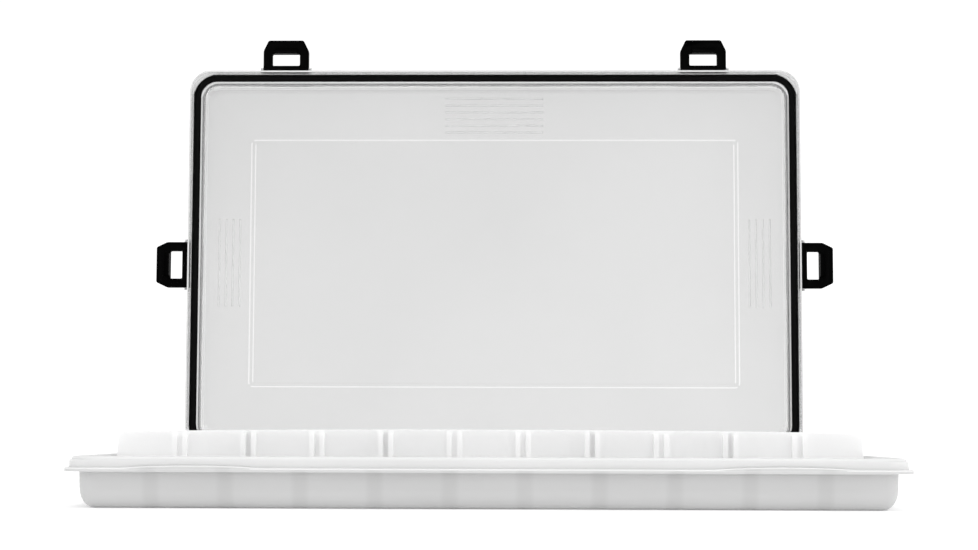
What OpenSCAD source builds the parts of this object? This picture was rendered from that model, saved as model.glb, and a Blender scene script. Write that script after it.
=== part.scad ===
// Shallow waterproof utility tray with a clear hinged lid, a ring seal and four snap latches.
// X runs along the front edge, Y points to the hinge side, Z is up. The origin is the centre of
// the tray's underside. The lid is modelled closed, then turned about its hinge to the open pose.

/* [Tray] */
// Length of the tray over its lip
tray_len = 356; // [320:1:400]
// Depth of the tray over its lip, front to back
tray_dep = 222; // [200:1:250]
// Plan corner radius of the lip and of the lid's edge
edge_r = 12.5; // [10.5:0.5:15]
// Height of the lip's underside above the ground
lip_z = 15.4; // [14.5:0.1:20]
// Thickness of the lip
lip_t = 1.6; // [1.2:0.1:2.2]
// How far the lip stands out from the wall below it
lip_w = 5.8; // [5.2:0.1:6.2]
// Thickness of the tray's walls and floor
wall_t = 1.8; // [1.4:0.1:2.4]
// Draft angle of the tray's walls
draft = 2; // [1:0.5:3]
// Radius of the rounded edge between wall and floor, outside
foot_r = 6; // [4:0.1:6]

/* [Sealing ridge] */
// Height of the ridge's square foot above the lip
step_h = 3.3; // [2.5:0.1:4]
// Height of the rounded tongue above the foot
tongue_h = 1.5; // [1:0.1:1.6]
// Thickness of the ridge
ridge_t = 3.4; // [3.2:0.1:3.8]

/* [Partitions] */
// Height of the partitions' top above the ground
part_top = 33.2; // [28:0.1:36]
// Thickness of a partition
part_t = 1.6; // [1.2:0.1:2.4]
// Radius of a partition's upper corners
part_r = 1.6; // [0.5:0.1:3]
// Gap between a partition's end and the closed lid's dome
part_gap = 1.5; // [0.4:0.1:2]
// Distance between neighbouring divider slots
slot_pitch = 31.2; // [26:0.1:36]
// Width of a divider slot
slot_w = 2.4; // [2:0.1:3]
// Width of each rib beside a slot
rib_w = 2.3; // [1.6:0.1:3]
// How far the slot ribs stand out
rib_d = 1.5; // [1.2:0.1:2]

/* [Dividers] */
// How far the dividers' top lies under the partitions' top
divider_drop = 1; // [0.5:0.1:4]
// Clearance between a divider and its slot, each side
divider_gap = 0.25; // [0.15:0.05:0.35]
// Width of the finger scallop in a divider's top edge
scallop_w = 22; // [14:1:28]
// Depth of the finger scallop
scallop_d = 4; // [2:0.5:6]

/* [Lid] */
// Gap between the tray's lip and the closed lid's skirt
lid_gap = 1.3; // [1:0.1:1.6]
// Thickness of the skirt round the lid's edge
skirt_t = 1; // [0.8:0.1:1.1]
// Thickness of the dome's wall and panel
lid_t = 1.6; // [1.2:0.1:2]
// Headroom between the partitions' top and the lid's shoulder
headroom = 0.8; // [0.6:0.1:3]
// Width of the sloped border along the lid's ends
border_x = 25.95; // [18:0.05:34]
// Width of the sloped border along the lid's front and back
border_y = 30.1; // [20:0.05:38]
// How far the sloped border rises to the flat panel
border_rise = 2.5; // [1.5:0.1:4]
// Radius of the rounding between the dome's wall and the border
shoulder_r = 2.4; // [1.8:0.1:3]

/* [Seal] */
// Distance from the lid's edge to the seal's centre line
seal_in = 3.6; // [3.55:0.05:3.8]
// Corner radius of the seal's centre line
seal_r = 11.6; // [11:0.1:13]
// Width of the seal
seal_w = 4.7; // [4.2:0.1:4.7]
// Height of the seal
seal_h = 4; // [3.4:0.1:5]
// Clearance between the seal and the channel's sides
seal_gap = 0.1; // [0.05:0.01:0.15]
// Gap between the seal and the ridge with the lid closed
seal_lift = 0.3; // [0.2:0.05:0.5]

/* [Grip ribs] */
// Number of grip ribs at the front edge, two more than at each end
grip_count = 6; // [3:1:6]
// Distance from the dome's wall to the first grip rib at the front edge
grip_in = 4.55; // [3:0.05:6]
// Distance from the dome's wall to the first grip rib at the lid's ends
grip_in_end = 6.75; // [3:0.05:8]
// Length of a grip rib at the front edge
grip_len = 58; // [30:1:70]
// Length of a grip rib at the lid's ends
grip_len_end = 52; // [30:1:60]
// Distance between grip ribs
grip_pitch = 4; // [3:0.1:4.2]
// Width of a grip rib
grip_w = 1; // [0.6:0.1:1.6]
// Height of a grip rib
grip_h = 0.5; // [0.3:0.1:0.8]

/* [Latches] */
// Distance from the lid's end to the middle of a front latch
latch_in = 55.3; // [45:0.1:80]
// Distance of a side latch behind the middle of the lid's end
latch_back = 2.8; // [0:0.1:10]
// Width of a latch
latch_w = 26.6; // [22:0.1:32]
// Distance from the lid's edge to the tip of an open latch
latch_reach = 19.2; // [17.5:0.1:22]
// Thickness of a latch plate and diameter of its barrel
latch_t = 2.9; // [2.6:0.1:3.4]
// Gap between the lid's skirt and the latch
latch_gap = 0.3; // [0.2:0.05:0.5]
// Width of the bar between a latch's barrel and its window
latch_bar = 1; // [0.5:0.1:2]
// Width of the latch's window
window_w = 16.2; // [12:0.1:18]
// Distance from the lid's edge to the far side of the window
hook_out = 11.3; // [10.6:0.1:11.8]
// Width of the hook behind the window
hook_w = 13; // [9:0.1:15]
// How far the hook reaches under the lip
hook_d = 2.5; // [1.5:0.1:3]
// Gap between the hook and the lip's underside, closed
hook_gap = 0.15; // [0.1:0.05:0.3]
// Width of the cut corners at the latch's tip
cut_w = 3; // [1.5:0.1:5]
// Length of the cut corners at the latch's tip
cut_len = 6.2; // [3:0.1:6.5]
// Diameter of a latch pin
latch_pin_d = 1.2; // [1:0.1:1.4]
// Thickness of the lid's ears beside a latch
ear_t = 1.3; // [1:0.1:2]
// Gap between an ear and the latch
ear_gap = 0.2; // [0.1:0.05:0.4]
// Width of the raised catch on the lip
catch_w = 56; // [40:1:64]
// Height of the raised catch
catch_h = 0.9; // [0.4:0.1:0.9]

/* [Lid hinges] */
// Distance from the tray's end to the middle of a hinge
hinge_in = 68; // [50:1:100]
// Distance from the lip's rear edge to the hinge axis
hinge_back = 3.2; // [3.1:0.1:4.2]
// Outer radius of the hinge knuckles
knuckle_r = 2.8; // [2.5:0.1:2.8]
// Diameter of a hinge pin
hinge_pin_d = 2; // [1.6:0.1:2.4]
// Width of the lid's middle knuckle
lid_knuckle_w = 16; // [10:0.5:24]
// Width of each outer knuckle on the tray
tray_knuckle_w = 9; // [6:0.5:14]
// Gap between neighbouring knuckles
knuckle_gap = 0.4; // [0.2:0.05:0.8]

/* [Fits and pose] */
// Clearance round every pin
pin_gap = 0.04; // [0.02:0.01:0.08]
// Angle at which the lid stands open
lid_open = 90; // [0:1:90]

/* [Hidden] */
$fn = 48;

eps = 0.01;          // tiny overrun of a cut past the face that it opens
arc_steps = 8;       // straight steps in a quarter-round outline
seat_gap = 0.1;      // gap under a divider that stands on the floor
foot_ledge = 0.15;   // ledge on the ridge's inner side, where the tongue stands on the foot
rows = 4;            // rows between the front wall and the rear wall
dividers_a_row = 4;  // dividers in each of the three rear rows

half_x = tray_len / 2;
half_y = tray_dep / 2;
lip_top = lip_z + lip_t;
step_top = lip_top + step_h;
tongue_top = step_top + tongue_h;

// Insets, measured inwards from the outline that the lip and the lid's edge share
wall_in = lip_w + wall_t;
ridge_out = skirt_t + 1;
ridge_in = ridge_out + ridge_t;
foot_in = ridge_in + foot_ledge;
channel_out = seal_in - seal_w / 2 - seal_gap;
channel_in = seal_in + seal_w / 2 + seal_gap;
dome_in = channel_in + lid_t;
part_end = dome_in + part_gap;

// Distance from a corner's centre to the centre of the rounded foot
foot_u = edge_r - lip_w - (lip_z - foot_r + foot_r * sin(draft)) * tan(draft) - foot_r * cos(draft);

// Heights of the closed lid
skirt_z = lip_top + lid_gap;
seal_z = tongue_top + seal_lift;
roof_z = seal_z + seal_h;
rim_top = roof_z + lid_t;
dome_z = seal_z - 1.2;
shoulder_z = part_top + headroom;
panel_z = shoulder_z + border_rise;
lid_top = panel_z + lid_t;

// Rows and slots
inner_y = half_y - wall_in;
row_pitch = (2 * inner_y + part_t) / rows;
part_half = half_x - part_end;
slot_count = floor(2 * part_half / slot_pitch);
floor_inner_y = inner_y - (lip_z - wall_t) * tan(draft);

// Lid hinge axis
hinge_y = half_y + hinge_back;
hinge_z = lip_top + 0.6;
hinge_x = half_x - hinge_in;
hinge_span = lid_knuckle_w + 2 * knuckle_gap + 2 * tray_knuckle_w;
heel_reach = hinge_back - 0.1;

// Latch pivot, from the lid's edge, with the lid closed
barrel_r = latch_t / 2;
pivot_out = latch_gap + barrel_r;
pivot_z = lip_z - hook_gap + hook_out - pivot_out;
window_in = pivot_out + barrel_r + latch_bar;
latch_x = half_x - latch_in;
latch_pin_len = latch_w + 2 * (ear_gap + ear_t);

// Points of an arc about a centre, from one angle to another
function arc(cx, cy, r, from, to) =
  [for (i = [0:arc_steps]) let (a = from + (to - from) * i / arc_steps) [cx + r * cos(a), cy + r * sin(a)]];

// Outline of a rounded rectangle that lies an inset inside the lip's outline
function outline(inset, r) = let (x = half_x - inset - r, y = half_y - inset - r) concat(
  arc(x, y, r, 0, 90), arc(-x, y, r, 90, 180), arc(-x, -y, r, 180, 270), arc(x, -y, r, 270, 360));

// Corner radius at an inset, for what runs along the seal
function seal_corner(inset) = seal_r + seal_in - inset;

// Upright plate between two heights, with a rounded outline
module slab(z0, z1, inset, r)
  translate([0, 0, z0]) linear_extrude(z1 - z0) polygon(outline(inset, r));

// Sweeps a wall section round the tray. In the section, x is the distance outwards from the
// corner's centre, which lies the given inset inside the lip's outline, and y is the height.
module sweep_round(inset) {
  cx = half_x - inset;
  cy = half_y - inset;
  for (m = [0, 1]) mirror([0, m, 0]) translate([0, cy, 0])
    rotate([90, 0, 90]) linear_extrude(2 * cx, center = true) children();
  for (m = [0, 1]) mirror([m, 0, 0]) translate([cx, 0, 0])
    rotate([90, 0, 0]) linear_extrude(2 * cy, center = true) children();
  for (mx = [0, 1], my = [0, 1]) mirror([mx, 0, 0]) mirror([0, my, 0]) translate([cx, cy, 0])
    rotate_extrude(angle = 90) children();
}

// Wall section with its rounded foot and floor edge
module wall_section() {
  top_u = edge_r - lip_w;
  inner_r = foot_r - wall_t;
  polygon(concat(
    [[0, 0]],
    arc(foot_u, foot_r, foot_r, -90, -draft),
    [[top_u, lip_z], [top_u, lip_top], [top_u - wall_t, lip_top], [top_u - wall_t, lip_z]],
    arc(foot_u, foot_r, inner_r, -draft, -90),
    [[0, wall_t]]));
}

// Rounded tongue that presses into the seal
module tongue_section() {
  outer_u = seal_corner(ridge_out);
  inner_u = seal_corner(ridge_in);
  round_r = min(tongue_h, ridge_t / 2 - 0.05);
  polygon(concat(
    [[inner_u, step_top - 0.5], [outer_u, step_top - 0.5]],
    arc(outer_u - round_r, tongue_top - round_r, round_r, 0, 90),
    arc(inner_u + round_r, tongue_top - round_r, round_r, 90, 180)));
}

// Comb of slot ribs along X, standing on the line y = 0 and reaching towards +Y
module rib_comb(sunk) {
  first = -(slot_count - 1) / 2 * slot_pitch;
  for (i = [0:slot_count - 1], side = [-1, 1])
    translate([first + i * slot_pitch + side * (slot_w + rib_w) / 2 - rib_w / 2, -sunk])
      square([rib_w, rib_d + sunk]);
}

// Side view of the space between the middles of two opposite walls, whose lip's edges lie half
// a span from the centre. What ends on it ends inside the walls and the floor.
module mid_wall_profile(half) {
  mid_r = foot_r - wall_t / 2;
  centre = half - edge_r + foot_u;
  top = half - wall_in + wall_t / 2;
  polygon(concat(
    arc(centre, foot_r, mid_r, -90, -draft), [[top, lip_z], [-top, lip_z]],
    arc(-centre, foot_r, mid_r, 180 + draft, 270)));
}

// Side view of a partition, which rounds its upper corners and clears the closed lid
module partition_side() {
  mid_wall_profile(half_x);
  polygon(concat(
    [[-part_half, foot_r], [part_half, foot_r]],
    arc(part_half - part_r, part_top - part_r, part_r, 0, 90),
    arc(-part_half + part_r, part_top - part_r, part_r, 90, 180)));
}

// Partition with the ribs on both of its faces
module partition() {
  translate([0, part_t / 2, 0]) rotate([90, 0, 0]) linear_extrude(part_t) partition_side();
  for (m = [0, 1]) mirror([0, m, 0]) translate([0, part_t / 2, wall_t / 2])
    linear_extrude(part_top - part_r - wall_t / 2) rib_comb(part_t / 4);
}

// Slot ribs on the inside of the front wall, ending inside the wall and the floor
module wall_ribs() intersection() {
  translate([0, -inner_y, 0]) linear_extrude(lip_z) rib_comb(wall_t);
  rotate([90, 0, 90]) linear_extrude(tray_len, center = true) mid_wall_profile(half_y);
}

// Raised catch on the lip under a latch, seen from its own side, at the outline's edge
module catch_block()
  translate([0, 0, lip_top]) rotate([90, 0, 0]) linear_extrude(skirt_t)
    polygon([[-catch_w / 2, -lip_t / 2], [catch_w / 2, -lip_t / 2], [catch_w / 2, 0],
             [catch_w / 4, catch_h], [-catch_w / 4, catch_h], [-catch_w / 2, 0]]);

// Puts a piece drawn for the rear edge at each latch's place
module at_front_latch(side) translate([side * latch_x, 0, 0]) rotate(180) translate([0, half_y, 0]) children();
module at_side_latch(side) translate([0, latch_back, 0]) rotate(-side * 90) translate([0, half_x, 0]) children();
module at_all_latches() {
  for (side = [-1, 1]) {
    at_front_latch(side) children();
    at_side_latch(side) children();
  }
}

// Knuckle along X, centred, with a given width
module knuckle(w) rotate([0, 90, 0]) cylinder(r = knuckle_r, h = w, center = true);

// One of the tray's outer knuckles with the web that joins it to the lip
module tray_knuckle() {
  translate([0, hinge_y, hinge_z]) knuckle(tray_knuckle_w);
  translate([-tray_knuckle_w / 2, half_y - 2, lip_z]) cube([tray_knuckle_w, hinge_back + 2, lip_t]);
}

// The lid's knuckle, its web to the skirt and the heel that stops it against the tray's lip
module lid_knuckle() {
  translate([0, hinge_y, hinge_z]) knuckle(lid_knuckle_w);
  translate([-lid_knuckle_w / 2, half_y - skirt_t / 2, skirt_z])
    cube([lid_knuckle_w, hinge_back + skirt_t / 2, hinge_z + knuckle_r - skirt_z]);
  translate([-lid_knuckle_w / 2, hinge_y, hinge_z - heel_reach])
    cube([lid_knuckle_w, knuckle_r, heel_reach]);
}

// Bore along X for a pin of a given diameter
module bore(d, len) rotate([0, 90, 0]) cylinder(d = d + 2 * pin_gap, h = len, center = true);

module hinge_bores()
  for (side = [-1, 1]) translate([side * hinge_x, hinge_y, hinge_z]) bore(hinge_pin_d, hinge_span + 2);

module base_tray() color("whitesmoke") difference() {
  union() {
    sweep_round(edge_r) wall_section();
    translate([-half_x + edge_r, -half_y + edge_r, 0]) cube([tray_len - 2 * edge_r, tray_dep - 2 * edge_r, wall_t]);
    difference() {
      slab(lip_z, lip_top, 0, edge_r);
      slab(lip_z - 1, lip_top + 1, wall_in - wall_t / 2, edge_r - wall_in + wall_t / 2);
    }
    difference() {
      slab(lip_top - lip_t / 2, step_top, ridge_out, edge_r - ridge_out);
      slab(lip_z, step_top + 1, foot_in, seal_corner(foot_in));
    }
    sweep_round(seal_in + seal_r) tongue_section();
    for (i = [1:rows - 1]) translate([0, -inner_y - part_t / 2 + i * row_pitch, 0]) partition();
    for (m = [0, 1]) mirror([0, m, 0]) wall_ribs();
    at_all_latches() catch_block();
    for (side = [-1, 1], end = [-1, 1])
      translate([side * hinge_x + end * (lid_knuckle_w + tray_knuckle_w + 2 * knuckle_gap) / 2, 0, 0])
        tray_knuckle();
  }
  hinge_bores();
}

// Turns what is drawn for the closed lid about the hinge axis to the open pose
module opened()
  translate([0, hinge_y, hinge_z]) rotate([-lid_open, 0, 0]) translate([0, -hinge_y, -hinge_z]) children();

// Side view of the dome: straight wall, rounded shoulder and sloped border up to the panel
module dome_profile(half_w, base, shoulder, border) {
  slope = atan(border_rise / border);
  turn = shoulder_r * tan((90 - slope) / 2);
  round_x = half_w - shoulder_r;
  round_y = shoulder - turn;
  polygon(concat(
    [[-half_w, base], [half_w, base]],
    arc(round_x, round_y, shoulder_r, 0, 90 - slope),
    [[half_w - border, shoulder + border_rise], [border - half_w, shoulder + border_rise]],
    arc(-round_x, round_y, shoulder_r, 90 + slope, 180)));
}

// Solid dome at an inset from the lip's outline, with its shoulder at a given height
module dome(inset, base, shoulder) {
  bx = border_x + dome_in - inset;
  by = border_y + dome_in - inset;
  intersection() {
    slab(base, shoulder + border_rise, inset, seal_corner(inset));
    rotate([90, 0, 0]) linear_extrude(tray_dep, center = true)
      dome_profile(half_x - inset, base, shoulder, bx);
    rotate([90, 0, 90]) linear_extrude(tray_len, center = true)
      dome_profile(half_y - inset, base, shoulder, by);
  }
}

// Strips that mark where the grip ribs stand, for the front edge and for one end
module grip_strips(count, len)
  for (i = [0:count - 1])
    translate([-len / 2, i * grip_pitch, shoulder_z]) cube([len, grip_w, border_rise + 4]);

module grip_ribs() intersection() {
  dome(channel_in, dome_z, shoulder_z + lid_t + grip_h);
  union() {
    translate([0, -half_y + dome_in + grip_in, 0]) grip_strips(grip_count, grip_len);
    for (side = [-1, 1]) rotate(side * 90)
      translate([0, -half_x + dome_in + grip_in_end, 0]) grip_strips(grip_count - 2, grip_len_end);
  }
}

// Ears either side of a latch, drawn for the rear edge
module latch_ears() for (side = [-1, 1])
  translate([side * (latch_w / 2 + ear_gap + ear_t / 2), 0, pivot_z]) {
    translate([0, pivot_out, 0]) rotate([0, 90, 0]) cylinder(r = barrel_r, h = ear_t, center = true);
    translate([-ear_t / 2, -skirt_t / 2, -barrel_r]) cube([ear_t, pivot_out + skirt_t / 2, latch_t]);
  }

module lid() color("gainsboro", 0.4) opened() difference() {
  union() {
    difference() {
      slab(skirt_z, rim_top, 0, edge_r);
      slab(skirt_z - 1, seal_z, skirt_t, edge_r - skirt_t);
      slab(seal_z - eps, roof_z, channel_out, seal_corner(channel_out));
      slab(roof_z - eps, rim_top + 1, channel_in + lid_t / 2, seal_corner(channel_in + lid_t / 2));
    }
    difference() {
      dome(channel_in, dome_z, shoulder_z + lid_t);
      dome(dome_in, dome_z - 1, shoulder_z);
    }
    grip_ribs();
    at_all_latches() latch_ears();
    for (side = [-1, 1]) translate([side * hinge_x, 0, 0]) lid_knuckle();
  }
  hinge_bores();
  at_all_latches() translate([0, pivot_out, pivot_z]) bore(latch_pin_d, latch_pin_len + 2);
}

// Section of the ring seal: flat back, round face
module seal_section() {
  r = seal_w / 2;
  rise = min(seal_h / 2, r);
  polygon(concat(
    [[seal_r + r, roof_z], [seal_r - r, roof_z], [seal_r - r, seal_z + rise]],
    [for (i = [1:2 * arc_steps - 1]) let (a = 180 + 90 * i / arc_steps)
      [seal_r + r * cos(a), seal_z + rise + rise * sin(a)]],
    [[seal_r + r, seal_z + rise]]));
}

module lid_gasket() color("black") opened() sweep_round(seal_in + seal_r) seal_section();

// A latch swung open, drawn for the rear edge in the closed lid's frame
module latch() difference() {
  union() {
    difference() {
      translate([0, 0, pivot_z - barrel_r]) linear_extrude(latch_t)
        polygon([[-latch_w / 2, pivot_out], [latch_w / 2, pivot_out],
                 [latch_w / 2, latch_reach - cut_len], [latch_w / 2 - cut_w, latch_reach],
                 [cut_w - latch_w / 2, latch_reach], [-latch_w / 2, latch_reach - cut_len]]);
      translate([-window_w / 2, window_in, pivot_z - latch_t])
        cube([window_w, hook_out - window_in, 2 * latch_t]);
    }
    translate([0, pivot_out, pivot_z]) rotate([0, 90, 0]) cylinder(r = barrel_r, h = latch_w, center = true);
    translate([0, hook_out, pivot_z - barrel_r]) rotate([90, 0, 90]) linear_extrude(hook_w, center = true)
      polygon([[0, barrel_r], [0, -hook_d], [hook_d / 3, -hook_d], [hook_d * 1.4, 0], [hook_d * 1.4, barrel_r]]);
  }
  translate([0, pivot_out, pivot_z]) bore(latch_pin_d, latch_w + 2);
}

module latch_pin()
  translate([0, pivot_out, pivot_z]) rotate([0, 90, 0]) cylinder(d = latch_pin_d, h = latch_pin_len, center = true);

module hinge_pin(side) color("lightslategray")
  translate([side * hinge_x, hinge_y, hinge_z]) rotate([0, 90, 0])
    cylinder(d = hinge_pin_d, h = hinge_span, center = true);

// Outline of a divider, with y across the row and z up. The rearmost row's divider follows the
// tray's rear wall: it is rounded at the floor and steps in above the lip to clear the lid.
module divider_outline(front_y, rear_y, rear_wall) {
  low = wall_t + seat_gap;
  high = part_top - divider_drop;
  mid = (front_y + rear_y) / 2;
  round_r = rear_wall ? foot_r - wall_t + 0.4 : 0.8;
  difference() {
    polygon(concat(
      [[front_y, low]],
      arc(rear_y - round_r, low + round_r, round_r, -90, 0),
      rear_wall ? [[rear_y, lip_z], [half_y - part_end, lip_z + 1]] : [],
      [[rear_wall ? half_y - part_end : rear_y, high], [front_y, high]]));
    translate([mid, high]) scale([1, 2 * scallop_d / scallop_w]) circle(d = scallop_w);
  }
}

module divider(index) {
  row = 1 + floor(index / dividers_a_row);
  place = index % dividers_a_row;
  slot = place < 2 ? 1 + 2 * place : slot_count - 8 + 2 * place;
  front_y = -inner_y + row * row_pitch + divider_gap;
  last = row == rows - 1;
  rear_y = last ? floor_inner_y - divider_gap : -inner_y + (row + 1) * row_pitch - part_t - divider_gap;
  thick = slot_w - 2 * divider_gap;
  color("white") translate([(slot - (slot_count - 1) / 2) * slot_pitch - thick / 2, 0, 0])
    rotate([90, 0, 90]) linear_extrude(thick) divider_outline(front_y, rear_y, last);
}

base_tray();
lid();
lid_gasket();
color("dimgray") opened() at_front_latch(-1) latch();  // latch_front_left
color("dimgray") opened() at_front_latch(1) latch();  // latch_front_right
color("dimgray") opened() at_side_latch(-1) latch();  // latch_side_left
color("dimgray") opened() at_side_latch(1) latch();  // latch_side_right
color("silver") opened() at_front_latch(-1) latch_pin();  // latch_pin_front_left
color("silver") opened() at_front_latch(1) latch_pin();  // latch_pin_front_right
color("silver") opened() at_side_latch(-1) latch_pin();  // latch_pin_side_left
color("silver") opened() at_side_latch(1) latch_pin();  // latch_pin_side_right
hinge_pin(-1);  // hinge_pin_left
hinge_pin(1);  // hinge_pin_right
for (i = [0:3 * dividers_a_row - 1])
  divider(i);
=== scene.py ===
"""Studio scene of an open, shallow utility tray with a clear hinged lid, a ring seal and four latches.

Sizes are in millimetres, as in the part's source. X runs along the front edge, Y points to the hinge
side and Z is up. The lid's pieces are modelled closed, then turned about the hinge to the open pose.
"""
import math

import bmesh
import bpy
from mathutils import Matrix, Vector


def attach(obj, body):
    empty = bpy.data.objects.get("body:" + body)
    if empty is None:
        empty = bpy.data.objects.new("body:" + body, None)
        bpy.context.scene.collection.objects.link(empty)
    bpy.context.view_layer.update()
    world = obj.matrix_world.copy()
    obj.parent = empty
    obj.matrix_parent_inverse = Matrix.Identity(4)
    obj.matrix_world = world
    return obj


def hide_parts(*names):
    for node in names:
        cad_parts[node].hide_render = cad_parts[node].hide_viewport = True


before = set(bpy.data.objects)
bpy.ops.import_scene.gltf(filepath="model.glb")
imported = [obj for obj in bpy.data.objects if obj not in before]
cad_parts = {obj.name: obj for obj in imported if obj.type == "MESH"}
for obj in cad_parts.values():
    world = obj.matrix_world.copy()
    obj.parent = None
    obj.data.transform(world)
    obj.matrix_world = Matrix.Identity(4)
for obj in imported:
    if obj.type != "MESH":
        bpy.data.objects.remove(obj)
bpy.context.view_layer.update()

MM = 0.001

# Tray. LIP_X and LIP_Y are half the lip's outline, and insets are measured inwards from it.
LIP_X, LIP_Y = 178.0, 111.0
LIP_CORNER, SEAL_CORNER, LEAST_CORNER = 12.5, 15.2, 0.1
LIP_LOW, LIP_TOP, LIP_WIDE = 15.4, 17.0, 5.8
# The lip's edge is rounded and stands a hair above the lip, as a bead.
BEAD_ROUND, BEAD_TOP = 0.7, 17.1
# The wall's outside is set in by SET_IN, which leaves the wall that much thinner than WALL.
WALL, SET_IN = 1.8, 0.3
DRAFT = math.radians(2)
FOOT_OUT, FOOT_UP = 6.35, 8.6
RIDGE_OUT, RIDGE_IN = 2.0, 5.4
STEP_TOP, TONGUE_TOP, TONGUE_IN = 20.3, 21.8, 0.15
INNER_Y = 103.4
TRAY_EDGE = 0.22

# Partitions. Below PART_STEP their ends reach END_FOOT further, into the walls. Above it they taper
# by END_DRAFT towards the top, and the top's corners are rounded by END_ROUND.
PART_YS = (-52.1, 0.0, 52.1)
PART_LOW, PART_STEP, PART_TOP, PART_THICK = 0.9, 14.0, 33.2, 1.6
PART_END, END_DRAFT, END_ROUND = 9.15, 0.7, 0.8
END_FOOT, END_FOOT_ROUND = 2.1, 5.1
PART_HALF = LIP_X - PART_END
PART_CROWN = 1.1
SLOT_PITCH, SLOT_COUNT = 31.2, 10
SLOT_WIDE, RIB_WIDE, RIB_DEEP, RIB_DROP = 2.4, 2.3, 1.5, 1.6
WALL_RIB_SUNK, WALL_RIB_LOW, WALL_RIB_CUT, WALL_RIB_DROP = 0.5, 2.6, 6.5, 0.3
# The slot ribs' shadow through the walls is painted on the walls' outside within RIB_SHADE_X of the
# middle and beyond RIB_SHADE_Y.
RIB_SHADE_X, RIB_SHADE_Y = 150, 96

# Catches, the swellings of the lip under the latches
CATCH_HALF, CATCH_RISE, CATCH_DEEP, CATCH_ROUND = 34.6, 2.2, 1.7, 0.9
CATCH_BACK, CATCH_CENTRE, CATCH_CUT = 0.02, 1.1, 0.7

# The tray's tones, in the order of its materials: its white, then darker copies of it that are painted
# shade on the outside and on the rim. Then the lid's clear plastic and a lighter copy of it that is a
# painted highlight.
INNER_FINISH, OUTER_SHADE, RIM_SHADE = 0, 1, 2
CLEAR_FINISH, LIT_EDGE_HIGHLIGHT = 0, 1

# Lid, closed
SKIRT_LOW, SKIRT_THICK = 18.3, 1.0
SEAL_LOW, SEAL_RISE, SEAL_SLACK, ROOF = 22.1, 1.2, 0.1, 26.1
RIM_TOP = 27.7
CHANNEL_OUT, CHANNEL_IN = 1.15, 6.05
DOME_IN, DOME_LOW = 7.65, 20.9
SHOULDER, SHOULDER_ROUND, OUTER_GAIN, BORDER_SLOPE = 34.0, 2.4, 0.7, 5.15
LID_THICK, LID_EDGE = 1.6, 0.25
PANEL_X, PANEL_Y, PANEL = 144.4, 73.25, 36.5
FRAME_WIDE, FRAME_SLOPE, FRAME_DROP = 1.7, 0.7, 0.3
FRAME_CORNERS = (3.0, 2.4, 1.6, 1.2)
GRIP_WIDE, GRIP_HIGH, GRIP_ROUND, GRIP_PITCH = 1.0, 0.5, 0.35, 4
FRONT_GRIPS, FRONT_GRIP_LONG, FRONT_GRIP_IN = 6, 58, 12.7
END_GRIPS, END_GRIP_LONG, END_GRIP_IN = 4, 52, 14.9

# Hinge
HINGE_X, HINGE_Y, HINGE_Z = 110.0, 114.2, 17.6
KNUCKLE, TRAY_KNUCKLE_WIDE, LID_KNUCKLE_WIDE, KNUCKLE_APART = 2.8, 9.0, 16.0, 12.9
WEB_IN, WEB_OFF, TRAY_WEB_SUNK, LID_WEB_SUNK = 0.05, 0.03, 1.5, 0.8
HEEL_LOW, HEEL_IN = 3.08, 0.02
HINGE_BORE, LATCH_BORE = 1.04, 0.64

# Latches
LATCH_X, LATCH_BACK = 122.7, 2.8
LATCH_WIDE, LATCH_REACH = 26.6, 19.2
CHAMFER_WIDE, CHAMFER_LONG, LATCH_ROUND = 3.0, 6.2, 0.8
LATCH_RIM, LATCH_RIM_SLOPE, LATCH_SUNK = 0.9, 0.2, 0.25
BARREL = 1.45
PIVOT_OUT, PIVOT_Z = 1.75, 24.8
EAR_HALF, EAR_SUNK, EAR_OUT = 0.65, 0.8, 14.15
WINDOW_WIDE, WINDOW_NEAR, WINDOW_FAR, WINDOW_ROUND = 16.2, 4.2, 11.3, 0.7
HOOK_WIDE, HOOK_DEEP, HOOK_LONG, HOOK_TIP = 13.0, 2.5, 3.5, 0.83
SMALL_EDGE = 0.2

# Dividers. The two rows' values are the ends of the dividers that stand in them, along Y.
DIVIDER_SLOTS = (1, 3, 6, 8)
MIDDLE_ROW, REAR_ROW, ROW_COUNT = (-51.05, -1.05), (53.15, 102.65), 3
DIVIDER_LOW, DIVIDER_DROP, DIVIDER_HALF, DIVIDER_EDGE = 1.9, 1.0, 0.95, 0.25
DIVIDER_RIM, DIVIDER_RIM_SLOPE, DIVIDER_SUNK = 1.6, 0.3, 0.2
REAR_FOOT_ROUND, MIDDLE_FOOT_ROUND = 4.6, 0.8
SCALLOP_HALF, SCALLOP_DEEP = 11, 4

# Camera: its place, its yaw, pitch and roll in degrees, and its lens in the picture's pixels
CAMERA_SPOT = (8.93, -681.48, 33.15)
CAMERA_TURN = (0.8213, 3.5045, 0.177)
PICTURE_WIDE, FOCAL, RAISED = 978, 1382.61, 70.16
SENSOR_WIDE = 36

CORNER_STEPS = 16
SHARP_ANGLE, SMOOTH_ANGLE = 30, 32
# Doubles lie within MERGE, loops stand at least a HAIR apart, and edges are picked within NEAR.
# A cutting piece reaches PAST both sides of what it cuts.
MERGE, HAIR, NEAR, PAST = 0.004, 0.01, 0.1, 2


# ---------------------------------------------------------------- modelling

def deselect_all():
    if bpy.context.object and bpy.context.object.mode != "OBJECT":
        bpy.ops.object.mode_set(mode="OBJECT")
    bpy.ops.object.select_all(action="DESELECT")


def start_piece(name):
    """Opens an empty mesh for modelling at the frame's origin."""
    deselect_all()
    piece = bpy.data.objects.new(name, bpy.data.meshes.new(name))
    bpy.context.collection.objects.link(piece)
    bpy.context.view_layer.objects.active = piece
    piece.select_set(True)
    bpy.ops.object.mode_set(mode="EDIT")
    bpy.ops.mesh.select_mode(type="EDGE")
    return piece


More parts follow.
